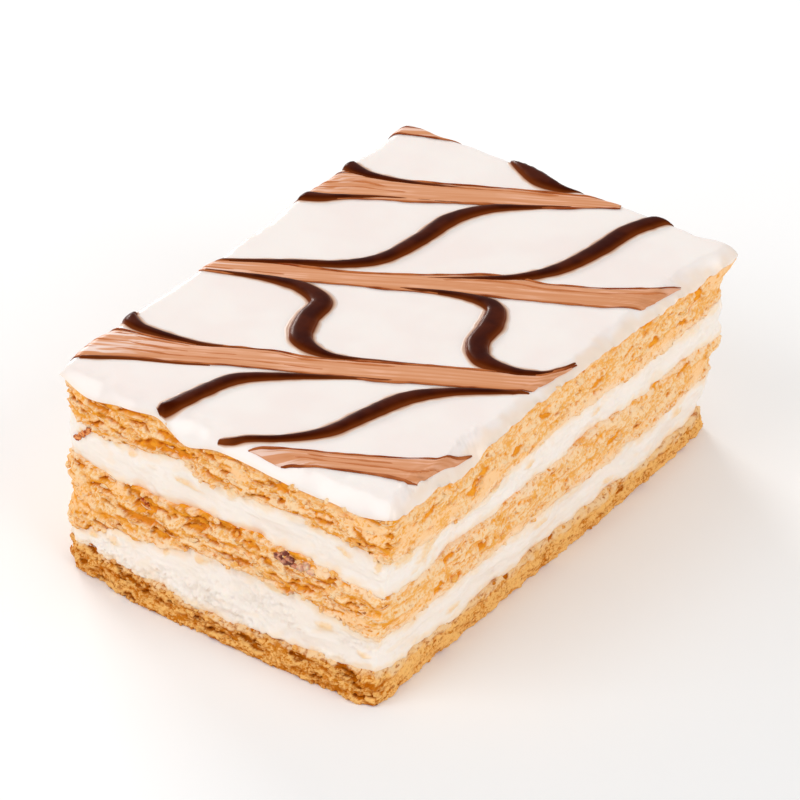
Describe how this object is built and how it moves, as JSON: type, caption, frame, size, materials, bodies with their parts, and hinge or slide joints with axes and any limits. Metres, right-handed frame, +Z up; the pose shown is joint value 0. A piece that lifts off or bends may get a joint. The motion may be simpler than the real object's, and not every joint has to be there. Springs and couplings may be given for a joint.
{
  "type": "napoleon cake slice",
  "caption": "Rectangular napoleon slice: flaky pastry sheets with cream between, under icing feathered with dark and milk chocolate.",
  "frame": {"origin": "the middle of the slice's box, on the floor under it", "axes": "+X to the long cut side seen on the right of the picture, +Y along the slice's length away from the short cut side seen on the left, +Z up through the layers"},
  "size_m": [0.0772, 0.1114, 0.0429],
  "materials": {
    "baked_pastry": "dry, dense, darker baked pastry with small holes",
    "golden_pastry": "dry, flaky, crumbly golden pastry",
    "cream": "soft cut cream, slightly moist",
    "icing": "smooth glossy sugar icing",
    "dark_chocolate": "satin dark chocolate line on the icing",
    "milk_chocolate": "streaked satin milk chocolate band on the icing"
  },
  "bodies": {
    "root": {"pastry_bottom": "baked_pastry", "cream_lower": "cream", "pastry_middle": "golden_pastry", "cream_upper": "cream", "pastry_top": "golden_pastry", "icing": "icing"}
  },
  "joints": []
}
